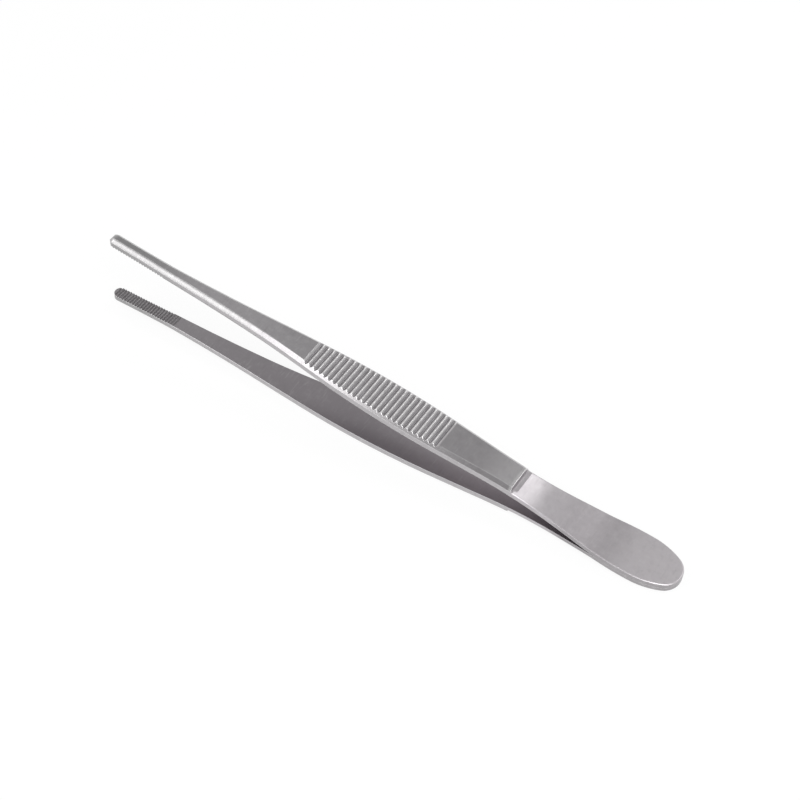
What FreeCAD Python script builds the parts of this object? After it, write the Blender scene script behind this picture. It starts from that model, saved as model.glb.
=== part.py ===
"""Thumb forceps, 14 cm: two bent steel blades, welded face to face at the butt.

Each blade is drawn in its own frame: X runs from the butt (0) to the tip, Z = 0 is the weld plane and +Z
is the outer side. The blade is a strip bent to its side profile, trimmed to its plan outline, bevelled
along its outer edges, ground thin behind the shoulder, and then cut with grip ribs outside and jaw teeth
inside. The lower blade is the same shape turned over. In the part's frame the tips point to -X, and the
forceps lie on the ribbed face of the lower blade, which tilts the weld plane by the slope of the grip.
"""

import FreeCAD, Part
import Sketcher
import math
import os

# Driving dimensions in millimetres and degrees. The strip's runs follow each other from the butt to the
# tip and add up to the overall length of 140 mm. Half widths are measured from the centre line.
SIZES = [
    ("strip_thick", 2.1, "finger arm and jaw"),
    ("leaf_thick", 1.1, "butt pad and spring leaf"),
    ("strip_width", 13.0, "strip before it is trimmed"),
    ("weld_length", 17.6, "butt end to where the inner faces part"),
    ("leaf_length", 26.4, "from there to the bend behind the grip"),
    ("leaf_angle", 5.52, "against the weld plane"),
    ("grip_length", 50.6, "between the bends of the grip"),
    ("grip_angle", 4.2, "against the weld plane"),
    ("fore_length", 29.9, "grip to the bend behind the jaw"),
    ("fore_angle", 1.46, "against the weld plane"),
    ("jaw_length", 15.5, "from that bend to the tip"),
    ("jaw_angle", 3.5, "against the weld plane"),
    ("weld_bend_radius", 45.0, "inner face"),
    ("arm_bend_radius", 400.0, "inner face"),
    ("fore_bend_radius", 280.0, "inner face"),
    ("jaw_bend_radius", 120.0, "inner face"),
    ("butt_radius", 4.2, "end of the butt"),
    ("flank_radius", 16.0, "sides of the butt"),
    ("pad_half_width", 5.37, "widest part of the butt pad"),
    ("pad_length", 13.6, "butt end to where the pad starts to taper"),
    ("pad_corner_radius", 55.0, "plan outline"),
    ("waist_to_grip", 9.2, "corner of the waist, behind the grip"),
    ("waist_half_width", 3.25, "corner of the waist"),
    ("waist_radius", 120.0, "plan outline"),
    ("belly_to_grip_end", 24.1, "corner of the widest part, behind the grip's front"),
    ("belly_half_width", 5.08, "corner of the widest part of the grip"),
    ("belly_radius", 220.0, "plan outline"),
    ("taper_to_tip", 26.4, "corner where the taper meets the jaw"),
    ("jaw_half_width", 1.38, "jaw and nose"),
    ("jaw_corner_radius", 500.0, "plan outline"),
    ("bevel", 0.78, "outer long edges"),
    ("shoulder_to_grip", 6.7, "foot of the shoulder, behind the grip"),
    ("shoulder_angle", 75.0, "riser against the leaf"),
    ("shoulder_cove", 0.5, "radius at the foot of the riser"),
    ("rim_radius", 0.3, "outer edge of the pad and leaf"),
    ("nose_radius", 1.6, "outer side of the tip"),
    ("rib_grooves", 27, "grooves across the grip"),
    ("rib_pitch", 1.24, "groove to groove"),
    ("rib_margin", 7.1, "front groove to the bend in front of the grip"),
    ("rib_depth", 0.48, "below the outer face"),
    ("rib_angle", 110.0, "between the groove's flanks"),
    ("tooth_grooves", 21, "grooves across the jaw"),
    ("tooth_pitch", 0.7, "groove to groove"),
    ("tooth_margin", 0.5, "last groove to the tip"),
    ("tooth_depth", 0.3, "below the inner face"),
    ("tooth_angle", 85.0, "between the groove's flanks"),
    ("overrun", 1.0, "how far a cut runs past the metal"),
]

# The sketcher's own names for a sketch's X axis, its origin and the points of an edge.
X_AXIS = -1
ORIGIN = (-1, 1)
START, END, CENTRE = 1, 2, 3

# How upright or level a face's normal is for it to count as a side wall or as the outer face.
WALL_LEVEL = 0.05
OUTER_LEVEL = 0.9

# The lower jaw's teeth sit half a pitch along, so that the jaws mesh.
MESHED = 0.5

doc = FreeCAD.newDocument("thumb_forceps")
sheet = doc.addObject("Spreadsheet::Sheet", "Sizes")
for row, (alias, value, note) in enumerate(SIZES, start=1):
    sheet.set(f"A{row}", alias)
    sheet.set(f"B{row}", str(value))
    sheet.set(f"C{row}", note)
    sheet.setAlias(f"B{row}", alias)
doc.recompute()


def size(alias):
    """The value of one driving dimension."""
    return float(sheet.get(alias))


def vec(x, y):
    """A point of a sketch."""
    return FreeCAD.Vector(x, y, 0)


# A measure is a pair: its value, and its words on the sheet.
def measure(alias, base=(0.0, "0"), sign=1):
    """A driving dimension, added to another measure or taken from it."""
    return base[0] + sign * size(alias), f"({base[1]} {'+' if sign > 0 else '-'} Sizes.{alias})"


def run_on(corner, length, angle):
    """The next corner of the inner face in side view, at the end of a run that climbs at an angle."""
    at, (height, height_words) = corner
    climb = size(length) * math.tan(math.radians(size(angle)))
    climb_words = f"Sizes.{length} * tan(Sizes.{angle} * 1deg)"
    return measure(length, at), (height + climb, f"({height_words} + {climb_words})")


WELD_CORNER = (measure("weld_length"), (0.0, "0"))
GRIP_CORNER = run_on(WELD_CORNER, "leaf_length", "leaf_angle")
FORE_CORNER = run_on(GRIP_CORNER, "grip_length", "grip_angle")
JAW_CORNER = run_on(FORE_CORNER, "fore_length", "fore_angle")
TIP_CORNER = run_on(JAW_CORNER, "jaw_length", "jaw_angle")
GRIP_AT, FORE_AT, TIP_AT = GRIP_CORNER[0], FORE_CORNER[0], TIP_CORNER[0]
SHOULDER_AT = measure("shoulder_to_grip", GRIP_AT, -1)


def origin_plane(body, role):
    """One of the body's own origin planes."""
    return next(item for item in body.Origin.OriginFeatures if item.Role == role)


def new_sketch(body, name, role):
    """A sketch on one of the body's origin planes."""
    sketch = body.newObject("Sketcher::SketchObject", name)
    sketch.AttachmentSupport = [(origin_plane(body, role), "")]
    sketch.MapMode = "FlatFace"
    return sketch


def lay_along(sketch, corner, angle):
    """Puts a side-view sketch's origin on a corner of the strip, with its X axis along a straight run."""
    (at, at_words), (height, height_words) = corner
    turn = FreeCAD.Rotation(FreeCAD.Vector(0, 0, 1), size(angle))
    sketch.AttachmentOffset = FreeCAD.Placement(vec(at, height), turn)
    sketch.setExpression("AttachmentOffset.Base.x", f"{at_words} * 1mm")
    sketch.setExpression("AttachmentOffset.Base.y", f"{height_words} * 1mm")
    sketch.setExpression("AttachmentOffset.Rotation.Angle", f"Sizes.{angle} * 1deg")


def rule(sketch, *terms):
    """Adds a constraint without a size."""
    sketch.addConstraint(Sketcher.Constraint(*terms))


def drive(sketch, words, *terms):
    """Adds a dimension and binds it to the sheet."""
    index = sketch.addConstraint(Sketcher.Constraint(*terms))
    sketch.setExpression(f"Constraints[{index}]", words)


def line(sketch, start, end):
    """A straight edge."""
    return sketch.addGeometry(Part.LineSegment(start, end), False)


def arc(sketch, centre, radius, start, end, leftwards):
    """An arc from start to end. Returns its index, and the ids of its start and end point."""
    first, last = (start, end) if leftwards else (end, start)
    angles = [math.atan2(point.y - centre.y, point.x - centre.x) for point in (first, last)]
    circle = Part.Circle(centre, FreeCAD.Vector(0, 0, 1), radius)
    index = sketch.addGeometry(Part.ArcOfCircle(circle, *angles), False)
    return (index, START, END) if leftwards else (index, END, START)


def rounded_run(sketch, points, radii):
    """Straight edges through the points, with a tangent arc at each inner point. Returns the straights."""
    ends = [points[0]]
    arcs = []
    corners = zip(points, points[1:], points[2:], radii)
    for before, corner, after, (radius, words) in corners:
        arriving = (corner - before).normalize()
        leaving = (after - corner).normalize()
        turn = math.atan2(arriving.x * leaving.y - arriving.y * leaving.x, arriving.dot(leaving))
        reach = radius * math.tan(abs(turn) / 2)
        arc_start = corner - arriving * reach
        arc_end = corner + leaving * reach
        inwards = FreeCAD.Vector(-arriving.y, arriving.x, 0) * math.copysign(radius, turn)
        arcs.append((arc_start + inwards, radius, arc_start, arc_end, turn > 0, words))
        ends += [arc_start, arc_end]
    ends.append(points[-1])
    edges = [line(sketch, start, end) for start, end in zip(ends[::2], ends[1::2])]
    for before, after, (*shape, words) in zip(edges, edges[1:], arcs):
        index, first, last = arc(sketch, *shape)
        rule(sketch, "Tangent", before, END, index, first)
        rule(sketch, "Tangent", index, last, after, START)
        drive(sketch, words, "Radius", index, shape[1])
    return edges


def pin_corner(sketch, corner, before, after):
    """Fixes where two edges would meet if their corner were sharp. None leaves its height free."""
    (x, x_words), (y, y_words) = corner
    point = sketch.addGeometry(Part.Point(vec(x, y)), True)
    rule(sketch, "PointOnObject", point, START, before)
    rule(sketch, "PointOnObject", point, START, after)
    drive(sketch, x_words, "DistanceX", *ORIGIN, point, START, x)
    if y_words == "0":
        rule(sketch, "PointOnObject", point, START, X_AXIS)
    elif y_words:
        drive(sketch, y_words, "DistanceY", *ORIGIN, point, START, y)


def close_outline(sketch, points, first, last, kinds):
    """Joins the last edge to the first through the points. An edge end is its index and its point id."""
    edges = [line(sketch, start, end) for start, end in zip(points, points[1:])]
    for before, after in zip(edges, edges[1:]):
        rule(sketch, "Coincident", before, END, after, START)
    rule(sketch, "Coincident", *last, edges[0], START)
    rule(sketch, "Coincident", edges[-1], END, *first)
    for edge, kind in zip(edges, kinds):
        rule(sketch, kind, edge)
    return edges


def draw_side_profile(sketch):
    """The bent strip in side view: an inner run, an outer run parallel to it, and two square ends."""
    corners = [WELD_CORNER, GRIP_CORNER, FORE_CORNER, JAW_CORNER, TIP_CORNER]
    angles = ["leaf_angle", "grip_angle", "fore_angle", "jaw_angle"]
    radii = ["weld_bend_radius", "arm_bend_radius", "fore_bend_radius", "jaw_bend_radius"]
    inner_points = [vec(0, 0)] + [vec(at, height) for (at, _), (height, _) in corners]
    inner = rounded_run(sketch, inner_points, [measure(name) for name in radii])
    rule(sketch, "Coincident", inner[0], START, *ORIGIN)
    rule(sketch, "Horizontal", inner[0])
    for (at, _), before, after, angle in zip(corners, inner, inner[1:], angles):
        pin_corner(sketch, (at, (0.0, None)), before, after)
        drive(sketch, f"Sizes.{angle} * 1deg", "Angle", after, math.radians(size(angle)))
    drive(sketch, TIP_AT[1], "DistanceX", *ORIGIN, inner[-1], END, TIP_AT[0])

    thick = size("strip_thick")
    slopes = [math.atan2(*reversed((b - a)[:2])) for a, b in zip(inner_points, inner_points[1:])]
    outer_points = [vec(0, thick)]
    outer_radii = []
    for corner, before, after, name in zip(inner_points[1:], slopes, slopes[1:], radii):
        middle = (before + after) / 2
        reach = thick / math.cos((after - before) / 2)
        outer_points.append(corner + vec(-math.sin(middle), math.cos(middle)) * reach)
        sign = "-" if after > before else "+"
        radius = size(name) - math.copysign(thick, after - before)
        outer_radii.append((radius, f"Sizes.{name} {sign} Sizes.strip_thick"))
    outer_points.append(inner_points[-1] + vec(0, thick / math.cos(slopes[-1])))
    outer = rounded_run(sketch, outer_points, outer_radii)
    for inner_edge, outer_edge in zip(inner, outer):
        rule(sketch, "Parallel", inner_edge, outer_edge)
        drive(sketch, "Sizes.strip_thick", "Distance", inner_edge, START, outer_edge, thick)
    butt_end = [inner_points[0], outer_points[0]]
    tip_end = [inner_points[-1], outer_points[-1]]
    close_outline(sketch, butt_end, (outer[0], START), (inner[0], START), ["Vertical"])
    close_outline(sketch, tip_end, (outer[-1], END), (inner[-1], END), ["Vertical"])


def draw_outline_cut(sketch):
    """The metal to trim away beside one half of the plan outline, from the round butt to the round nose."""
    length, length_words = TIP_AT
    half_pad = size("pad_half_width")
    half_jaw = size("jaw_half_width")
    butt = size("butt_radius")
    flank = size("flank_radius")
    butt_centre = vec(butt, 0)
    flank_x = butt + math.sqrt((flank - butt) ** 2 - (flank - half_pad) ** 2)
    flank_centre = vec(flank_x, half_pad - flank)
    meeting = butt_centre + (butt_centre - flank_centre).normalize() * butt
    nose_centre = vec(length - half_jaw, 0)
    corners = [
        (measure("pad_length"), measure("pad_half_width")),
        (measure("waist_to_grip", GRIP_AT, -1), measure("waist_half_width")),
        (measure("belly_to_grip_end", FORE_AT, -1), measure("belly_half_width")),
        (measure("taper_to_tip", TIP_AT, -1), measure("jaw_half_width")),
    ]
    radii = ["pad_corner_radius", "waist_radius", "belly_radius", "jaw_corner_radius"]
    points = [vec(flank_x, half_pad)] + [vec(at, half) for (at, _), (half, _) in corners]
    points.append(vec(nose_centre.x, half_jaw))
    side = rounded_run(sketch, points, [measure(name) for name in radii])
    for corner, before, after in zip(corners, side, side[1:]):
        pin_corner(sketch, corner, before, after)
    rule(sketch, "Horizontal", side[0])
    rule(sketch, "Horizontal", side[-1])

    butt_arc, butt_end, butt_side = arc(sketch, butt_centre, butt, vec(0, 0), meeting, False)
    flank_arc, flank_butt, flank_side = arc(sketch, flank_centre, flank, meeting, points[0], False)
    rule(sketch, "Tangent", butt_arc, butt_side, flank_arc, flank_butt)
    rule(sketch, "Tangent", flank_arc, flank_side, side[0], START)
    rule(sketch, "Coincident", butt_arc, butt_end, *ORIGIN)
    rule(sketch, "PointOnObject", butt_arc, CENTRE, X_AXIS)
    drive(sketch, "Sizes.butt_radius", "Radius", butt_arc, butt)
    drive(sketch, "Sizes.flank_radius", "Radius", flank_arc, flank)

    nose_arc, nose_side, nose_end = arc(sketch, nose_centre, half_jaw, points[-1], vec(length, 0), False)
    rule(sketch, "Tangent", side[-1], END, nose_arc, nose_side)
    rule(sketch, "PointOnObject", nose_arc, CENTRE, X_AXIS)
    rule(sketch, "PointOnObject", nose_arc, nose_end, X_AXIS)
    drive(sketch, length_words, "DistanceX", *ORIGIN, nose_arc, nose_end, length)

    past = size("overrun")
    far = size("strip_width") / 2 + past
    ends = [vec(length, 0), vec(length + past, 0), vec(length + past, far)]
    frame = ends + [vec(-past, far), vec(-past, 0), vec(0, 0)]
    kinds = ["Horizontal", "Vertical", "Horizontal", "Vertical", "Horizontal"]
    edges = close_outline(sketch, frame, (butt_arc, butt_end), (nose_arc, nose_end), kinds)
    drive(sketch, "Sizes.overrun", "DistanceX", edges[0], START, edges[0], END, past)
    drive(sketch, "Sizes.overrun", "DistanceX", edges[-1], START, edges[-1], END, past)
    far_words = "Sizes.strip_width / 2 + Sizes.overrun"
    drive(sketch, far_words, "DistanceY", edges[1], START, edges[1], END, far)


def draw_leaf_relief(sketch):
    """The metal ground away behind the shoulder, down to the thin pad and spring leaf."""
    thin = size("leaf_thick")
    past = size("overrun")
    lean = math.radians(size("leaf_angle"))
    climb = lean + math.radians(size("shoulder_angle"))
    grip_height, grip_height_words = GRIP_CORNER[1]
    top = size("strip_thick") + grip_height + past
    foot = vec(size("weld_length") - thin * math.tan(lean / 2), thin)
    shoulder = vec(SHOULDER_AT[0], thin + (SHOULDER_AT[0] - foot.x) * math.tan(lean))
    crest = vec(shoulder.x + (top - shoulder.y) / math.tan(climb), top)
    radii = [
        (size("weld_bend_radius") - thin, "Sizes.weld_bend_radius - Sizes.leaf_thick"),
        (size("shoulder_cove"), "Sizes.shoulder_cove"),
    ]
    pad, leaf, riser = rounded_run(sketch, [vec(-past, thin), foot, shoulder, crest], radii)
    foot_words = "Sizes.weld_length - Sizes.leaf_thick * tan(Sizes.leaf_angle * 1deg / 2)"
    pin_corner(sketch, ((foot.x, foot_words), measure("leaf_thick")), pad, leaf)
    pin_corner(sketch, (SHOULDER_AT, (shoulder.y, None)), leaf, riser)
    rule(sketch, "Horizontal", pad)
    drive(sketch, "Sizes.leaf_angle * 1deg", "Angle", leaf, lean)
    drive(sketch, "(Sizes.leaf_angle + Sizes.shoulder_angle) * 1deg", "Angle", riser, climb)
    frame = [crest, vec(-past, top), vec(-past, thin)]
    edges = close_outline(sketch, frame, (pad, START), (riser, END), ["Horizontal", "Vertical"])
    top_words = f"Sizes.strip_thick + {grip_height_words} + Sizes.overrun"
    drive(sketch, "Sizes.overrun", "DistanceX", pad, START, *ORIGIN, past)
    drive(sketch, top_words, "DistanceY", *ORIGIN, edges[0], START, top)


def draw_nose_cut(sketch):
    """Rounds the outer side of the tip. The origin is the end of the inner face, with X along the jaw."""
    radius = size("nose_radius")
    thick = size("strip_thick")
    past = size("overrun")
    low = thick - radius
    high = thick + past
    top = vec(-radius, thick)
    nose, nose_top, nose_end = arc(sketch, vec(-radius, low), radius, top, vec(0, low), False)
    frame = [vec(0, low), vec(past, low), vec(past, high), vec(-radius, high), top]
    kinds = ["Horizontal", "Vertical", "Horizontal", "Vertical"]
    edges = close_outline(sketch, frame, (nose, nose_top), (nose, nose_end), kinds)
    rule(sketch, "Vertical", nose, nose_top, nose, CENTRE)
    rule(sketch, "Horizontal", nose, nose_end, nose, CENTRE)
    drive(sketch, "Sizes.nose_radius", "Radius", nose, radius)
    drive(sketch, "Sizes.nose_radius", "DistanceX", nose, CENTRE, *ORIGIN, radius)
    drive(sketch, "Sizes.strip_thick", "DistanceY", *ORIGIN, nose, nose_top, thick)
    drive(sketch, "Sizes.overrun", "DistanceX", *ORIGIN, edges[0], END, past)
    drive(sketch, "Sizes.strip_thick + Sizes.overrun", "DistanceY", *ORIGIN, edges[1], END, high)


def draw_notch(sketch, root, x_words, y_words, angle, mouth, mouth_words):
    """A V cut with its root at a point, which lies left of the origin, and its mouth at a height."""
    reach = (mouth - root.y) * math.tan(math.radians(size(angle)) / 2)
    corners = [root, vec(root.x + abs(reach), mouth), vec(root.x - abs(reach), mouth), root]
    right, top, left = [line(sketch, start, end) for start, end in zip(corners, corners[1:])]
    for before, after in ((right, top), (top, left), (left, right)):
        rule(sketch, "Coincident", before, END, after, START)
    rule(sketch, "Horizontal", top)
    rule(sketch, "Equal", right, left)
    drive(sketch, f"Sizes.{angle} * 1deg", "Angle", right, START, left, END, math.radians(size(angle)))
    drive(sketch, x_words, "DistanceX", right, START, *ORIGIN, -root.x)
    drive(sketch, y_words, "DistanceY", *ORIGIN, right, START, root.y)
    ends = (top, START, *ORIGIN) if mouth < 0 else (*ORIGIN, top, START)
    drive(sketch, mouth_words, "DistanceY", *ends, abs(mouth))


def cut_through(body, sketch, name, sides="Symmetric"):
    """Cuts a closed outline out of the body, through all of it: both ways from the sketch, or upwards."""
    cut = body.newObject("PartDesign::Pocket", name)
    cut.Profile = sketch
    cut.SideType = sides
    cut.Type = "ThroughAll"
    cut.Reversed = True
    before = cut.BaseFeature.Shape.Volume
    doc.recompute()
    if not cut.Shape.Volume < before:
        raise RuntimeError(f"{name} cuts nothing")
    return cut


def repeat(body, cut, sketch, name, count, pitch):
    """Repeats a cut along the X axis of its sketch, towards the butt."""
    row = body.newObject("PartDesign::LinearPattern", name)
    row.Originals = [cut]
    row.Direction = (sketch, ["H_Axis"])
    row.Reversed = True
    row.Mode = "Spacing"
    row.setExpression("Offset", f"Sizes.{pitch} * 1mm")
    row.setExpression("Occurrences", f"Sizes.{count}")
    body.Tip = row
    doc.recompute()
    return row


def edges_between(shape, is_first, is_second):
    """The names of the edges where a face of one kind meets a face of another kind."""
    names = []
    for number, edge in enumerate(shape.Edges, start=1):
        faces = shape.ancestorsOfType(edge, Part.Face)
        if len(faces) != 2:
            continue
        one, other = faces
        if (is_first(one) and is_second(other)) or (is_first(other) and is_second(one)):
            names.append(f"Edge{number}")
    return names


def middle_normal(face):
    """The direction that a face looks in, at its middle."""
    low_u, high_u, low_v, high_v = face.ParameterRange
    return face.normalAt((low_u + high_u) / 2, (low_v + high_v) / 2)


def is_wall(face):
    """True for the upright sides of the blade."""
    return abs(middle_normal(face).z) < WALL_LEVEL


def is_outer(face):
    """True for the outer face of the blade."""
    return middle_normal(face).z > OUTER_LEVEL


def dress_edges(body, kind, name, base, edges, dimension, alias):
    """A chamfer or fillet along edges of the last feature."""
    dressing = body.newObject(kind, name)
    dressing.Base = (base, edges)
    dressing.setExpression(dimension, f"Sizes.{alias} * 1mm")
    doc.recompute()
    return dressing


def make_blade(label, tooth_shift):
    """One blade in its own frame. The tooth shift is in pitches, so that the two jaws can mesh."""
    body = doc.addObject("PartDesign::Body", label)
    body.Label = label

    profile = new_sketch(body, "SideProfile", "XZ_Plane")
    draw_side_profile(profile)
    doc.recompute()
    strip = body.newObject("PartDesign::Pad", "Strip")
    strip.Profile = profile
    strip.SideType = "Symmetric"
    strip.setExpression("Length", "Sizes.strip_width * 1mm")
    doc.recompute()

    outline = new_sketch(body, "OutlineCut", "XY_Plane")
    draw_outline_cut(outline)
    doc.recompute()
    side_cut = cut_through(body, outline, "OutlineSide", "One side")
    trimmed = body.newObject("PartDesign::Mirrored", "OutlineBothSides")
    trimmed.Originals = [side_cut]
    trimmed.MirrorPlane = (origin_plane(body, "XZ_Plane"), [""])
    body.Tip = trimmed
    doc.recompute()

    rim = edges_between(trimmed.Shape, is_outer, is_wall)
    dress_edges(body, "PartDesign::Chamfer", "OuterBevel", trimmed, rim, "Size", "bevel")

    relief = new_sketch(body, "LeafRelief", "XZ_Plane")
    draw_leaf_relief(relief)
    doc.recompute()
    ground = cut_through(body, relief, "SpringLeaf")
    pad_rim = edges_between(ground.Shape, is_outer, is_wall)
    dress_edges(body, "PartDesign::Fillet", "PadRim", ground, pad_rim, "Radius", "rim_radius")

    nose = new_sketch(body, "NoseProfile", "XZ_Plane")
    lay_along(nose, TIP_CORNER, "jaw_angle")
    draw_nose_cut(nose)
    doc.recompute()
    cut_through(body, nose, "RoundNose")

    past = size("overrun")
    rib = new_sketch(body, "RibNotch", "XZ_Plane")
    lay_along(rib, FORE_CORNER, "grip_angle")
    draw_notch(
        rib,
        vec(-size("rib_margin"), size("strip_thick") - size("rib_depth")),
        "Sizes.rib_margin",
        "Sizes.strip_thick - Sizes.rib_depth",
        "rib_angle",
        size("strip_thick") + past,
        "Sizes.strip_thick + Sizes.overrun",
    )
    doc.recompute()
    rib_cut = cut_through(body, rib, "RibGroove")
    repeat(body, rib_cut, rib, "GripRibs", "rib_grooves", "rib_pitch")

    tooth = new_sketch(body, "ToothNotch", "XZ_Plane")
    lay_along(tooth, TIP_CORNER, "jaw_angle")
    draw_notch(
        tooth,
        vec(-size("tooth_margin") - tooth_shift * size("tooth_pitch"), size("tooth_depth")),
        f"Sizes.tooth_margin + {tooth_shift} * Sizes.tooth_pitch",
        "Sizes.tooth_depth",
        "tooth_angle",
        -past,
        "Sizes.overrun",
    )
    doc.recompute()
    tooth_cut = cut_through(body, tooth, "ToothGroove")
    repeat(body, tooth_cut, tooth, "JawTeeth", "tooth_grooves", "tooth_pitch")
    return body


upper = make_blade("upper_arm", 0)
lower = make_blade("lower_arm", MESHED)

# The upper blade is turned half round Z so that its tip points to -X. The lower one is turned half round Y,
# which puts it underneath, and both lean by the grip's slope, which lays the lower grip flat on the table.
lean = FreeCAD.Rotation(FreeCAD.Vector(0, 1, 0), size("grip_angle"))
turned = FreeCAD.Rotation(FreeCAD.Vector(0, 0, 1), 180)
turned_over = FreeCAD.Rotation(FreeCAD.Vector(0, 1, 0), 180)
upper.Placement = FreeCAD.Placement(FreeCAD.Vector(), lean * turned)
lower.Placement = FreeCAD.Placement(FreeCAD.Vector(), lean * turned_over)
doc.recompute()
box = Part.makeCompound([upper.Shape, lower.Shape]).optimalBoundingBox(False, False)
to_origin = FreeCAD.Vector(-box.Center.x, 0, -box.ZMin)
for blade in (upper, lower):
    blade.Placement.Base = to_origin
doc.recompute()

for item in doc.Objects:
    if {"Invalid", "Error"} & set(item.State):
        raise RuntimeError(f"{item.Label}: {item.State}")

os.makedirs("parts", exist_ok=True)
for blade in (upper, lower):
    if blade.Shape.isNull() or not blade.Shape.isValid():
        raise RuntimeError(f"{blade.Label} has no valid shape")
    blade.Shape.exportStep(f"parts/{blade.Label}.step")
    extent = blade.Shape.optimalBoundingBox(False, False)
    print(blade.Label, "solids", len(blade.Shape.Solids), "mm3", round(blade.Shape.Volume, 2), extent)
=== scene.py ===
# %% [markdown]
# # Thumb forceps
# Dressing forceps are two strips of stainless steel, welded face to face at a flat butt. The packed CAD model
# already holds both blades with their bevels, ribs and teeth, so this lesson adds no new shapes. It gives the
# steel its finish, then lights and photographs it. The finish is the hard part: satin steel has almost no
# colour of its own, and looks like steel only through how sharp, how streaky and how worn its reflections
# are.

import math
from types import SimpleNamespace

import bpy
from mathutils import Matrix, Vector

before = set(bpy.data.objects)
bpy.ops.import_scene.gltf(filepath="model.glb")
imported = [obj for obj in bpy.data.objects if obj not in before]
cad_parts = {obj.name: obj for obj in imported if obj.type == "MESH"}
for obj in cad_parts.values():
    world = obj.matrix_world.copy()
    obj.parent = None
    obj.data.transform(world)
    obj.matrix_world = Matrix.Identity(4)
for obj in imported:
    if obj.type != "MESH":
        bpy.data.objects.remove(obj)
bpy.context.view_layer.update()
MM = 0.001
print("nodes", sorted(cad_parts))

# %% [markdown]
# ## Writing shader maths as Python
# A node tree is a sum that is worked out for every point of a surface. Written as nodes and links, a long sum
# is hard to read. The small class below wraps one socket and lets Python's own operators add the Math nodes,
# so that `1 - mask * 0.5` says what it does. A vector goes through Vector Math nodes, because a Math node
# would turn it into one number.

# %% A socket that takes part in sums
COLOUR, VECTOR = "RGBA", "VECTOR"


class Value:
    """One output socket of a node tree, usable in Python sums."""

    def __init__(self, nodes, socket):
        self.nodes = nodes
        self.socket = socket

    def _maths(self, operation, first, second):
        terms = (first, second)
        is_vector = any(isinstance(term, Value) and term.socket.type == VECTOR for term in terms)
        if not is_vector:
            return self.nodes.make("ShaderNodeMath", {"operation": operation}, *terms)
        return self.nodes.make("ShaderNodeVectorMath", {"operation": operation}, *terms)

    def __add__(self, other):
        return self._maths("ADD", self, other)

    def __sub__(self, other):
        return self._maths("SUBTRACT", self, other)

    def __mul__(self, other):
        return self._maths("MULTIPLY", self, other)

    def __rsub__(self, other):
        return self._maths("SUBTRACT", other, self)

    __radd__ = __add__
    __rmul__ = __mul__


print("operators", [name for name in vars(Value) if name.endswith(("add__", "sub__", "mul__"))])

# %% [markdown]
# ## One maker for every node
# Every node comes from one method. It sets the node's own settings first, because some of them change which
# sockets the node has, and then feeds the sockets. Three short forms are used so often that they get names:
# a smooth step from 0 to 1, a mix of two colours, and the dot product that measures how far two directions
# agree.


# %% A maker of nodes
class Nodes:
    """The nodes of one material or world."""

    def __init__(self, owner):
        owner.use_nodes = True
        self.tree = owner.node_tree
        self.tree.nodes.clear()

    def feed(self, socket, value):
        """Links a value to a socket, or sets the socket to a plain number, colour or vector."""
        if isinstance(value, Value):
            self.tree.links.new(value.socket, socket)
        else:
            socket.default_value = value

    def stop(self, ramp, stops):
        """Sets the stops of a colour ramp from pairs of a place and a grey."""
        while len(ramp) < len(stops):
            ramp.new(0.5)
        for element, (position, grey) in zip(ramp, stops):
            element.position = position
            element.color = (grey, grey, grey, 1.0)

    def add(self, kind, settings, *places, **named):
        """A node with its settings made first, then its sockets fed by place or by name."""
        node = self.tree.nodes.new(kind)
        for name, setting in settings.items():
            if name == "stops":
                self.stop(node.color_ramp.elements, setting)
            else:
                setattr(node, name, setting)
        for socket, value in zip(node.inputs, places):
            self.feed(socket, value)
        for name, value in named.items():
            self.feed(node.inputs[name.replace("_", " ")], value)
        return node

    def make(self, kind, settings, *places, out=0, **named):
        """The same, for when only one output is wanted. It is told by place or by name."""
        return Value(self, self.add(kind, settings, *places, **named).outputs[out])

    def step(self, value, low, high):
        """0 at low, 1 at high, and a smooth rise between them. High may be the lower number."""
        return self.make("ShaderNodeMapRange", {"interpolation_type": "SMOOTHSTEP"}, value, low, high)

    def mix(self, share, first, second):
        """A colour that goes from the first to the second as the share goes from 0 to 1."""
        node = self.add("ShaderNodeMix", {"data_type": COLOUR})
        colours = [socket for socket in node.inputs if socket.type == COLOUR]
        for socket, value in zip([node.inputs[0], *colours], [share, first, second]):
            self.feed(socket, value)
        return Value(self, next(socket for socket in node.outputs if socket.type == COLOUR))

    def dot(self, first, second):
        """How far two directions agree."""
        return self.make("ShaderNodeVectorMath", {"operation": "DOT_PRODUCT"}, first, second, out="Value")

    def noise(self, point, waves, detail):
        """Noise from 0 to 1, with its own number of waves per metre along each axis."""
        where = point * waves
        return self.make("ShaderNodeTexNoise", {}, Vector=where, Scale=1.0, Detail=detail, Roughness=0.6)


print("short forms", [name for name in vars(Nodes) if name in ("step", "mix", "dot", "noise")])

# %% [markdown]
# ## Knowing where a point is on the blade
# The steel is finished differently from place to place: arms, a ground pad and spring leaf, duller inner
# faces that also carry painted shade. The material finds the place from the point itself. The forceps lie on
# the lower grip, so both blades lean. Turning the point back by that lean gives three plain measures in
# millimetres: how far it is from the butt, how far to the side, and how high above the plane of the weld.

# %% The blade's own axes
LEAN = math.radians(4.2)
BUTT = Vector((70.09, 0.0, 1.42)) * MM
TO_TIP = Vector((-math.cos(LEAN), 0.0, math.sin(LEAN)))
ACROSS = Vector((0.0, 1.0, 0.0))
OFF_WELD = Vector((math.sin(LEAN), 0.0, math.cos(LEAN)))


def blade_point(nodes):
    """The point, and its distances from the butt, from the middle and from the weld plane, in millimetres."""
    point = nodes.make("ShaderNodeTexCoord", {}, out="Object")
    from_butt = point - tuple(BUTT)
    return point, [nodes.dot(from_butt, tuple(axis / MM)) for axis in (TO_TIP, ACROSS, OFF_WELD)]


print("axes", [round(c, 4) for c in TO_TIP], [round(c, 4) for c in OFF_WELD])

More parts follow.
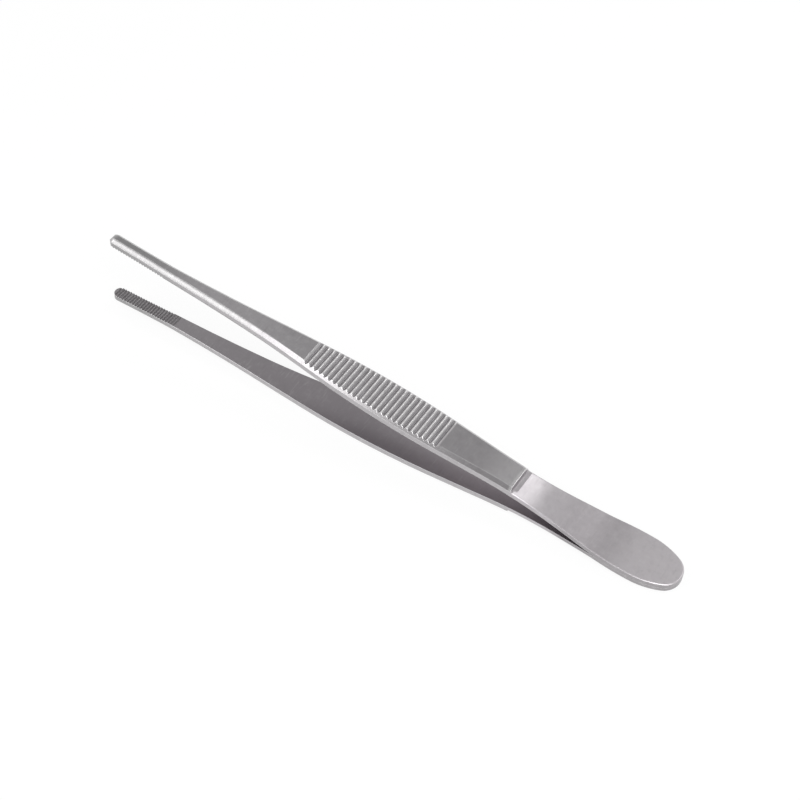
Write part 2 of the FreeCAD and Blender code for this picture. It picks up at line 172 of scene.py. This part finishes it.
# %% [markdown]
# ## Naming the places
# A mask is a number that is 1 on one part of the blade and 0 elsewhere. Some masks come from the distance to
# the butt, some from the way that the surface faces. Together they tell the ribs from the flat, the bevels
# from both, and the leaf from the arm. The depth below the grip's flat tells a rib's crest from the valley
# beside it. Painting the masks by hand would work too, but they would have to be painted again after each
# change to the CAD model. A pair of numbers says where a mask is 0 and where it is 1.

# %% Stations and masks
# Places along the blade, in millimetres from the butt.
SHOULDER = 37.5
RIBS_START, RIBS_END = 54.8, 88.0
JAW_START = 112.0
TEETH_START, CUT_TEETH_START = 122.9, 125.0
GRIP_BEND, GRIP_FLAT_HEIGHT = 44.0, 4.656
PAD = (35.0, 31.0)
EDGE_BLUR, TEETH_BLUR = 0.1, 0.3

# Depths below the grip's flat, in millimetres.
VALLEY, CREST_TOP = (0.15, 0.42), (0.36, 0.10)

# How a surface faces: 1 straight away from the weld plane, 0 sideways and -1 straight at it.
OUTSIDE, INSIDE = (0.2, 0.5), (-0.3, -0.6)
WALL_RISE, WALL_FALL = (-0.4, -0.2), (0.5, 0.3)
LEAF_SIDE = (-0.2, 0.1)
LEVEL = (0.2, 0.1)


def flat_height(along):
    """The height of the grip's outer flat over the weld plane, in millimetres."""
    return GRIP_FLAT_HEIGHT + (along - GRIP_BEND) * math.tan(LEAN)


def blade_places(nodes, outwards):
    """The masks of one blade. Its outer side looks away from the weld plane: 1 is up and -1 is down."""
    point, (along, across, above) = blade_point(nodes)
    normal = nodes.make("ShaderNodeNewGeometry", {}, out="Normal")
    facing = nodes.dot(normal, tuple(OFF_WELD * outwards))
    sideways = nodes.dot(normal, tuple(ACROSS))
    at = SimpleNamespace(point=point, along=along, across=across, normal=normal, facing=facing)

    at.level = nodes.step(sideways * sideways, *LEVEL)
    at.outside = nodes.step(facing, *OUTSIDE)
    at.inside = nodes.step(facing, *INSIDE)
    at.wall = nodes.step(facing, *WALL_RISE) * nodes.step(facing, *WALL_FALL)
    at.bevel = (1 - at.level) * at.outside

    behind_shoulder = nodes.step(along, SHOULDER + EDGE_BLUR, SHOULDER - EDGE_BLUR)
    at.leaf = behind_shoulder * nodes.step(facing, *LEAF_SIDE)
    at.pad = nodes.step(along, *PAD)
    at.jaw = nodes.step(along, RIBS_END, JAW_START) * (1 - at.inside)
    at.teeth = nodes.step(along, TEETH_START - TEETH_BLUR, TEETH_START + TEETH_BLUR) * at.inside

    past_start = nodes.step(along, RIBS_START - EDGE_BLUR, RIBS_START)
    ribbed = past_start * nodes.step(along, RIBS_END, RIBS_END - EDGE_BLUR)
    depth = flat_height(along) - above * outwards
    at.valley = nodes.step(depth, *VALLEY) * ribbed * at.level * at.outside
    at.crest = nodes.step(depth, *CREST_TOP) * ribbed * at.outside
    return at


print("grip flat over the weld plane in mm", [round(flat_height(q), 2) for q in (RIBS_START, RIBS_END)])

# %% [markdown]
# ## Soft corners and bright edges
# Tumbling in a drum of ceramic chips rounds the corners: softly along the jaw, which ends almost half round,
# and hardly at all at the ribs. A real bevel would need many more faces on every rib, so a Bevel node rounds
# the corners for the light alone. Its wider twin marks the edges that are painted bright, partly as the wear
# of fingers and trays and partly as a painted highlight: wherever the rounded normal leaves the true one, an
# edge is near.

# %% The corners
# Radii in millimetres. The jaw and the side walls add theirs to the plain corner.
CORNER, JAW_ROUNDER, WALL_ROUNDER, WEAR_AND_HIGHLIGHT_RADIUS = 0.12, 0.65, 0.12, 0.35
BEVEL_SAMPLES = {"samples": 6}

# How far the rounded normal agrees with the true one, where an edge isn't painted bright and where it is.
AT_EDGE = (0.996, 0.95)


def corners(nodes, at):
    """The normal with its corners rounded, and a mask of the edges painted bright for wear and highlight."""
    radius = (CORNER + at.jaw * JAW_ROUNDER + at.wall * (1 - at.jaw) * WALL_ROUNDER) * MM
    rounded = nodes.make("ShaderNodeBevel", BEVEL_SAMPLES, Radius=radius)
    wide = nodes.make("ShaderNodeBevel", BEVEL_SAMPLES, Radius=WEAR_AND_HIGHLIGHT_RADIUS * MM)
    worn_and_highlit = nodes.step(nodes.dot(wide, at.normal), *AT_EDGE) * (1 - at.inside)
    return rounded, worn_and_highlit


print("corner radii in mm", CORNER, "to", CORNER + JAW_ROUNDER)

# %% [markdown]
# ## Marks of the grinding wheel
# The wheel that thins the leaf leaves a shallow hollow where it stops, and a sloping riser up to the ridge of
# the shoulder. They could be modelled, but both are so slight that they show only as a highlight and a grey
# stripe, so leaning the normal towards the butt is enough. The riser fades at the near corner of the leaf.

# %% The wheel's marks
HOLLOW_LENGTH, HOLLOW_LEAN = 8.0, 0.24
RISER_LENGTH, RISER_LEAN = 1.2, 0.45
RISER_SIDE = (-3.0, -2.0)


def hollow_and_riser(nodes, at, normal):
    """The normal, leaning towards the butt in the hollow and on the riser."""
    foot = SHOULDER - RISER_LENGTH
    hollow = nodes.step(at.along, SHOULDER - HOLLOW_LENGTH, foot)
    riser = nodes.step(at.along, foot - EDGE_BLUR, foot + EDGE_BLUR) * nodes.step(at.across, *RISER_SIDE)
    lean = (hollow * HOLLOW_LEAN + riser * RISER_LEAN) * at.leaf * at.outside
    leaning = normal + nodes.make("ShaderNodeCombineXYZ", {}, lean, 0.0, 0.0)
    return nodes.make("ShaderNodeVectorMath", {"operation": "NORMALIZE"}, leaning)


print("leans in degrees", [round(math.degrees(math.atan(lean)), 1) for lean in (HOLLOW_LEAN, RISER_LEAN)])

# %% [markdown]
# ## The first tooth grooves
# The teeth of the real jaw start about 2 mm nearer to the grip than the cut ones of the CAD model. Three more
# grooves could be cut into the mesh, but at this size a bump shows them, helped by painted shade in each
# groove.
# A wave that runs to and fro between two grooves gives the distance to the nearest one, and a Bump node makes
# V grooves of it.

# %% The first tooth grooves
TOOTH_PITCH, TOOTH_DEPTH, TOOTH_HALF_WIDTH = 0.7, 0.3, 0.275

# The middle of the first cut groove on the upper blade (1) and on the lower one (-1).
FIRST_CUT_GROOVE = {1: 125.5, -1: 125.2}


def first_grooves(nodes, at, outwards):
    """1 in the middle of each drawn groove, falling to 0 at its sides."""
    beat = (at.along - FIRST_CUT_GROOVE[outwards]) * (1 / TOOTH_PITCH)
    aside = nodes.make("ShaderNodeMath", {"operation": "PINGPONG"}, beat, 0.5)
    aside = aside * (TOOTH_PITCH / TOOTH_HALF_WIDTH)
    aside = nodes.make("ShaderNodeMath", {"operation": "MINIMUM"}, aside, 1.0)
    started = nodes.step(at.along, TEETH_START - EDGE_BLUR, TEETH_START)
    drawn = started * nodes.step(at.along, CUT_TEETH_START, CUT_TEETH_START - EDGE_BLUR)
    return (1 - aside) * drawn * at.inside


print("grooves drawn", round((CUT_TEETH_START - TEETH_START) / TOOTH_PITCH))

# %% [markdown]
# ## The steel's colours
# It is one steel throughout, with a ground pad and leaf, and several of the greys below are painted light and
# shade. The arms are a mid grey with painted shade towards the tip. The pad and the leaf are paler, with a
# faint warm purple, darker at the waist and lighter towards the butt, and their walls are darker. The inner
# faces carry painted shade where the blades face each other. One grey for all would be simpler, but then the
# blade looks cast. Each colour below is the base colour of a metal: the tint that its reflections take.

# %% The colours of the faces


def steel(red, green, blue):
    """A metal's base colour."""
    return (red, green, blue, 1.0)


# The arm's grey darkens to a painted shade towards the tip.
ARM, ARM_TIP_SHADE = steel(0.475, 0.457, 0.471), steel(0.33, 0.326, 0.328)
GROUND, GROUND_CLOUD = steel(0.48, 0.455, 0.474), steel(0.55, 0.525, 0.543)
GROUND_WAIST, GROUND_BUTT = steel(0.42, 0.395, 0.412), steel(0.60, 0.572, 0.59)
# The inner greys are painted shade where the blades face each other, lighter towards the tip and the rear.
INNER_SHADE, INNER_TIP_SHADE = steel(0.28, 0.256, 0.274), steel(0.35, 0.333, 0.344)
INNER_REAR_SHADE, PAD_WALL = steel(0.42, 0.390, 0.41), steel(0.33, 0.315, 0.325)

# Where each colour starts and where it is full, in millimetres from the butt.
TIP_FROM, INNER_TIP_FROM, INNER_REAR_FROM = (110.0, 138.0), (60.0, 138.0), (78.0, 45.0)
WAIST_FROM, BUTT_FROM, PAD_WALL_FROM = (30.0, 24.0), (18.0, 9.0), (29.0, 24.0)


def faces_colour(nodes, at, clouds):
    """The arms with painted shade towards the tip, the inner faces with painted shade, and the pad and leaf.
    """
    arm = nodes.mix(nodes.step(at.along, *TIP_FROM) * 0.8 + clouds * 0.2, ARM, ARM_TIP_SHADE)
    ground = nodes.mix(clouds, GROUND, GROUND_CLOUD)
    ground = nodes.mix(nodes.step(at.along, *WAIST_FROM) * 0.6, ground, GROUND_WAIST)
    ground = nodes.mix(nodes.step(at.along, *BUTT_FROM) * 0.8, ground, GROUND_BUTT)
    inner = nodes.mix(nodes.step(at.along, *INNER_TIP_FROM) * 0.7 + clouds * 0.3, INNER_SHADE, INNER_TIP_SHADE)
    inner = nodes.mix(nodes.step(at.along, *INNER_REAR_FROM), inner, INNER_REAR_SHADE)
    colour = nodes.mix(at.leaf, nodes.mix(at.inside, arm, inner), ground)
    pad_wall = at.wall * nodes.step(at.along, *PAD_WALL_FROM)
    return nodes.mix(pad_wall * 0.8, colour, PAD_WALL)


print("arm, ground and inner greys", ARM[0], GROUND[0], INNER_SHADE[0])

# %% [markdown]
# The bevels stand at a slant, so each meets another part of the room than the flat beside it, and their greys
# paint in some of that light: a painted highlight along the grip, a mid grey along the jaw that tones down
# their highlight so that they melt into the round, and painted shade in front of the shoulder.

# %% The colours of the bevels
# A painted highlight for the grip's bevels, painted shade for the rear ones, and a toned-down grey for the
# jaw.
GRIP_BEVEL_HIGHLIGHT, REAR_BEVEL_SHADE = steel(0.62, 0.60, 0.61), steel(0.34, 0.325, 0.335)
JAW_ROUND = steel(0.455, 0.448, 0.451)
GRIP_FROM, GRIP_UNTIL = (44.0, 60.0), (100.0, 85.0)
ROUND_FROM, REAR_FROM = (96.0, 110.0), (58.0, 44.0)


def bevels_colour(nodes, at, colour):
    """The bevels: painted highlight on the grip, a toned-down grey on the jaw, painted shade at the rear end.
    """
    grip = at.bevel * nodes.step(at.along, *GRIP_FROM) * nodes.step(at.along, *GRIP_UNTIL)
    colour = nodes.mix(grip * 0.5, colour, GRIP_BEVEL_HIGHLIGHT)
    colour = nodes.mix(at.bevel * nodes.step(at.along, *ROUND_FROM), colour, JAW_ROUND)
    rear = at.bevel * nodes.step(at.along, *REAR_FROM) * (1 - at.leaf)
    return nodes.mix(rear * 0.5, colour, REAR_BEVEL_SHADE)


print("bevel greys", GRIP_BEVEL_HIGHLIGHT[0], JAW_ROUND[0], REAR_BEVEL_SHADE[0])

# %% [markdown]
# ## Ribs, teeth, wear and painted light
# A rib's valley is rougher than its crest. The valleys and the teeth's flanks are painted dark, a painted
# shade, and a rib's crest is painted bright, a painted highlight on top of the polish that crests get, so the
# ribs read as stripes from any side. The flat towards the shoulder gets a painted sheen and the shoulder's
# ridge a painted highlight, and the outer edges are painted bright, partly for wear and partly as a painted
# highlight.

# %% Ribs, teeth, wear and painted light
# The tooth and valley greys are painted shade in the recesses.
TOOTH_PAINTED_SHADE, VALLEY_PAINTED_SHADE = steel(0.17, 0.162, 0.166), steel(0.22, 0.212, 0.217)
GROOVE_PAINTED_SHADE, CREST_POLISH_AND_HIGHLIGHT = steel(0.10, 0.095, 0.098), steel(0.83, 0.815, 0.825)
SHOULDER_SHEEN, RIDGE_HIGHLIGHT, EDGE_WEAR_AND_HIGHLIGHT = steel(0.66, 0.645, 0.655), steel(0.80, 0.79, 0.795), steel(0.76, 0.75, 0.755)
FLANK = (-0.9, -0.8)
SHOULDER_SHEEN_FROM, RIDGE_HIGHLIGHT_FROM = (48.0, 38.5), (38.3, 37.8)


def cut_colour(nodes, at, colour, groove):
    """Painted shade on teeth, drawn grooves and rib valleys; a painted highlight on the crests."""
    flank = nodes.step(at.facing, *FLANK)
    # Painted shade on the teeth, strongest on their steep flanks, and in the rib valleys.
    colour = nodes.mix(at.teeth * (0.2 + flank * 0.55), colour, TOOTH_PAINTED_SHADE)
    colour = nodes.mix(at.valley * 0.42, colour, VALLEY_PAINTED_SHADE)
    # The drawn grooves are painted dark, a painted shade.
    colour = nodes.mix(groove * 0.6, colour, GROOVE_PAINTED_SHADE)
    # The crests are painted bright: their polish and a painted highlight.
    return nodes.mix(at.crest, colour, CREST_POLISH_AND_HIGHLIGHT)


def wear_and_highlight_colour(nodes, at, colour, worn_and_highlit):
    """A painted sheen towards the shoulder, a painted highlight on its ridge, and edges painted bright."""
    in_front = at.outside * (1 - at.leaf)
    # The flat is painted lighter towards the shoulder, a painted sheen.
    shoulder_sheen = nodes.step(at.along, *SHOULDER_SHEEN_FROM) * at.level * in_front
    colour = nodes.mix(shoulder_sheen * 0.6, colour, SHOULDER_SHEEN)
    # A painted highlight along the shoulder's ridge.
    ridge_highlight = nodes.step(at.along, *RIDGE_HIGHLIGHT_FROM) * in_front
    colour = nodes.mix(ridge_highlight * 0.7, colour, RIDGE_HIGHLIGHT)
    # The edges are painted bright: partly wear, partly a painted highlight.
    return nodes.mix(worn_and_highlit * (0.6 - at.pad * 0.4) * (1 - at.valley), colour, EDGE_WEAR_AND_HIGHLIGHT)


print("valley, crest and edge greys", VALLEY_PAINTED_SHADE[0], CREST_POLISH_AND_HIGHLIGHT[0], EDGE_WEAR_AND_HIGHLIGHT[0])

# %% [markdown]
# ## Small marks
# Without small marks the flats look like plastic. The steel carries faint blotches and short scratches across
# the blade, both darker and lighter than itself. An image of scratches would show where it repeats, and noise
# never does. The lines are fainter on the pad, and the blotches on the inner faces.

# %% Small marks
DARK_MARK, LIGHT_MARK = steel(0.24, 0.23, 0.235), steel(0.72, 0.71, 0.715)
MOTTLE_WAVES = (700.0, 700.0, 700.0)

# Where a noise starts to show and where its mark is full.
DARK_BLOTCH, LIGHT_BLOTCH = (0.5, 0.72), (0.5, 0.28)
DARK_LINE, LIGHT_LINE = (0.58, 0.72), (0.42, 0.28)


def marked_colour(nodes, at, colour, scratches):
    """The blotches, and the scratches in lines across the blade."""
    mottle = nodes.noise(at.point, MOTTLE_WAVES, 3.0)
    blotches = 0.14 - at.inside * 0.08
    colour = nodes.mix(nodes.step(mottle, *DARK_BLOTCH) * blotches, colour, DARK_MARK)
    colour = nodes.mix(nodes.step(mottle, *LIGHT_BLOTCH) * blotches, colour, LIGHT_MARK)
    dark_lines = nodes.step(scratches, *DARK_LINE) * (0.22 - at.pad * 0.12)
    light_lines = nodes.step(scratches, *LIGHT_LINE) * (0.18 - at.pad * 0.08)
    colour = nodes.mix(dark_lines, colour, DARK_MARK)
    return nodes.mix(light_lines, colour, LIGHT_MARK)


print("a blotch is about", round(1 / (MOTTLE_WAVES[0] * MM), 1), "mm wide")

# %% [markdown]
# ## Satin steel
# Now the finish comes together. The arms reflect most sharply, the pad and the leaf least, and fine scratches
# break up both the roughness and the normal. The noise that draws them has ten times more waves along the
# blade than across it, which pulls its grains into lines. Metallic stays at 1, so the steel shows the room in
# its reflections, tinted by base colours that also carry painted light and shade.

# %% The steel
# Waves per metre along the blade, across it and upwards.
SCRATCH_WAVES, HAIRLINE_WAVES = (2600.0, 260.0, 900.0), (9000.0, 300.0, 3000.0)
CLOUD_WAVES = (160.0, 300.0, 300.0)
SCRATCH_DEPTH, SCRATCH_STRENGTH = 0.02, 0.16

# The arm's roughness, and what the leaf, the inner face, the valleys and the scratches add to it.
ARM_ROUGH, LEAF_ROUGHER, INSIDE_ROUGHER, VALLEY_ROUGHER, SCRATCH_ROUGHER = 0.25, 0.16, 0.09, 0.1, 0.10


def satin_steel(name, outwards):
    """The finish of one blade, whose outer side looks up (1) or down (-1)."""
    material = bpy.data.materials.new(name)
    nodes = Nodes(material)
    at = blade_places(nodes, outwards)
    scratches = nodes.noise(at.point, SCRATCH_WAVES, 3.0)
    hairlines = nodes.noise(at.point, HAIRLINE_WAVES, 2.0)
    clouds = nodes.noise(at.point, CLOUD_WAVES, 2.0)

    rounded, worn_and_highlit = corners(nodes, at)
    normal = hollow_and_riser(nodes, at, rounded)
    groove = first_grooves(nodes, at, outwards)
    depth = TOOTH_DEPTH * MM
    normal = nodes.make("ShaderNodeBump", {}, Distance=depth, Height=1 - groove, Normal=normal)
    height = scratches * 0.6 + hairlines * 0.4
    fine = {"Strength": SCRATCH_STRENGTH, "Distance": SCRATCH_DEPTH * MM}
    normal = nodes.make("ShaderNodeBump", {}, Height=height, Normal=normal, **fine)

    colour = bevels_colour(nodes, at, faces_colour(nodes, at, clouds))
    colour = cut_colour(nodes, at, colour, groove)
    colour = wear_and_highlight_colour(nodes, at, colour, worn_and_highlit)
    colour = marked_colour(nodes, at, colour, scratches)

    rough = ARM_ROUGH + at.leaf * LEAF_ROUGHER + at.inside * INSIDE_ROUGHER + at.valley * VALLEY_ROUGHER
    rough = rough + (scratches - 0.5) * SCRATCH_ROUGHER
    metal = {"Base_Color": colour, "Metallic": 1.0, "Roughness": rough, "Normal": normal}
    nodes.add("ShaderNodeOutputMaterial", {}, nodes.make("ShaderNodeBsdfPrincipled", {}, **metal))
    print(name, "nodes", len(nodes.tree.nodes))
    return material


for name, outwards in (("upper_arm", 1), ("lower_arm", -1)):
    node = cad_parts[name]
    finish = satin_steel(f"satin_steel_{name}", outwards)
    for slot in node.material_slots:
        slot.material = finish
    print(name, "slots", len(node.material_slots), "faces", len(node.data.polygons))

# %% [markdown]
# ## The table
# A catalogue picture stands on a white sheet. Towards the camera and in the steel's reflections the sheet
# glows a little, so that it comes out white. For the rest it is matt paper, so it keeps the soft shadow. Far
# from the forceps, where no shadow falls, it only glows.

# %% The white sheet
# Half the sheet's side, and where the plain glow starts and is full, in metres from the middle.
SHEET_HALF = 6.0
NEAR, FAR = 0.2, 0.6
GLOW_SHARE = 0.87
PAPER = (0.95, 0.95, 0.95, 1.0)
WHITE = (1.0, 1.0, 1.0, 1.0)


def sheet_paper():
    """White paper. It can't be seen from below, so the underside of the forceps stays in view."""
    material = bpy.data.materials.new("white_sheet")
    nodes = Nodes(material)
    rays = nodes.add("ShaderNodeLightPath", {})
    camera, glossy, through = (
        Value(nodes, rays.outputs[f"Is {kind} Ray"]) for kind in ("Camera", "Glossy", "Transmission")
    )
    place = nodes.make("ShaderNodeTexCoord", {}, out="Object")
    far = nodes.step(nodes.dot(place, place), NEAR**2, FAR**2)
    # Glow towards the camera and in reflections, paper for the rest.
    share = (camera + glossy + through) * (GLOW_SHARE + far * (1 - GLOW_SHARE))
    paper = nodes.make("ShaderNodeBsdfDiffuse", {}, PAPER)
    glow = nodes.make("ShaderNodeEmission", {}, WHITE, 1.0)
    front = nodes.make("ShaderNodeMixShader", {}, share, paper, glow)
    from_below = nodes.make("ShaderNodeNewGeometry", {}, out="Backfacing")
    clear = nodes.make("ShaderNodeBsdfTransparent", {})
    whole = nodes.make("ShaderNodeMixShader", {}, from_below, front, clear)
    nodes.add("ShaderNodeOutputMaterial", {}, whole)
    return material


def white_sheet():
    """A large flat sheet on the table."""
    mesh = bpy.data.meshes.new("sheet")
    half = SHEET_HALF
    corners_on_table = [(-half, -half, 0), (half, -half, 0), (half, half, 0), (-half, half, 0)]
    mesh.from_pydata(corners_on_table, [], [(0, 1, 2, 3)])
    mesh.materials.append(sheet_paper())
    sheet = bpy.data.objects.new("sheet", mesh)
    bpy.context.scene.collection.objects.link(sheet)
    return sheet


print(white_sheet().name, 2 * SHEET_HALF, "m wide")

# %% [markdown]
# ## The studio
# Steel is a mirror of the room, so the room is what gets designed. A pale wall on the tips' side fades into a
# darker one behind the butt, which draws the ribs as bright and dark stripes. Near the horizon every wall is
# white, so the backdrop stays pale when the camera comes down to the table.

# %% The room
world = bpy.data.worlds.new("studio")
bpy.context.scene.world = world
room = Nodes(world)
look = room.make("ShaderNodeTexCoord", {}, out="Generated")

# The greys from the tips' side (0) to the butt's side (1), and how high the white horizon fades out.
WALLS = [(0.0, 1.0), (0.35, 0.62), (0.46, 0.45), (0.60, 0.40), (1.0, 0.42)]
HORIZON = (0.35, 0.18)
towards_butt = room.dot(look, (1.0, 0.0, 0.0)) * 0.5 + 0.5
walls = room.make("ShaderNodeValToRGB", {"stops": WALLS}, towards_butt)
horizon = room.step(room.dot(look, (0.0, 0.0, 1.0)), *HORIZON)
sky = room.make("ShaderNodeBackground", {}, room.mix(horizon, walls, WHITE), 1.0)
room.add("ShaderNodeOutputWorld", {}, sky)
print("wall greys", WALLS)

# %% [markdown]
# ## The lamps
# Three soft boxes do the rest. The front one brightens the near bevels, the one behind the shoulder finds the
# hollow in the leaf and the crests of the ribs, and the top one lights the sheet and the whole to a plain
# level, where a colour comes out about as it is written. An area lamp's energy is worked out from how bright
# its face should look, so that its size can be changed without a new guess.

# %% The lamps
LAMP_DISTANCE = 0.9


def soft_lamp(name, direction, wide, high, radiance):
    """A rectangular lamp that shines at the forceps from a direction."""
    data = bpy.data.lights.new(name, "AREA")
    data.shape = "RECTANGLE"
    data.size = wide
    data.size_y = high
    data.energy = radiance * math.pi * wide * high
    lamp = bpy.data.objects.new(name, data)
    towards = Vector(direction).normalized()
    lamp.location = towards * LAMP_DISTANCE
    lamp.rotation_mode = "QUATERNION"
    lamp.rotation_quaternion = towards.to_track_quat("Z", "Y")
    bpy.context.scene.collection.objects.link(lamp)
    print(name, "energy", round(data.energy, 3))


soft_lamp("front_lamp", (-0.55, -0.70, 0.45), 0.6, 0.5, radiance=1.7)
soft_lamp("shoulder_lamp", (0.40, 0.54, 0.73), 0.40, 0.3, radiance=3.0)
soft_lamp("top_lamp", (0.50, -0.40, 0.77), 0.5, 0.5, radiance=6.0)

# %% [markdown]
# ## The camera
# The photograph was taken from above, over the near side of the butt, with a long lens from about 40 cm. The
# numbers come from fitting the outline of the CAD model to the outline in the photograph.

# %% The camera
AZIMUTH, ELEVATION = 32.983, 49.614
DISTANCE = 0.400
LENS, SENSOR = 87.249, 36.0
AIM = Vector((0.78, 0.0, 6.51)) * MM
ASIDE, ABOVE = 3.168 * MM, 3.330 * MM

turn, climb = math.radians(AZIMUTH), math.radians(ELEVATION)
back = Vector((math.sin(turn) * math.cos(climb), -math.cos(turn) * math.cos(climb), math.sin(climb)))
right = (-back).cross(Vector((0, 0, 1))).normalized()
upward = right.cross(-back)
lens = bpy.data.cameras.new("camera")
lens.type = "PERSP"
lens.sensor_width = SENSOR
lens.lens = LENS
lens.clip_start, lens.clip_end = 0.01, 50.0
camera = bpy.data.objects.new("camera", lens)
camera.location = AIM + right * ASIDE + upward * ABOVE + back * DISTANCE
camera.rotation_mode = "QUATERNION"
camera.rotation_quaternion = (-back).to_track_quat("-Z", "Y")
bpy.context.scene.collection.objects.link(camera)
bpy.context.scene.camera = camera
print("camera at", [round(c, 4) for c in camera.location])

# %% [markdown] ## Finish The view settings stay plain, so that a colour comes out as it is written.

# %% Finish
bpy.context.scene.view_settings.view_transform = "Standard"
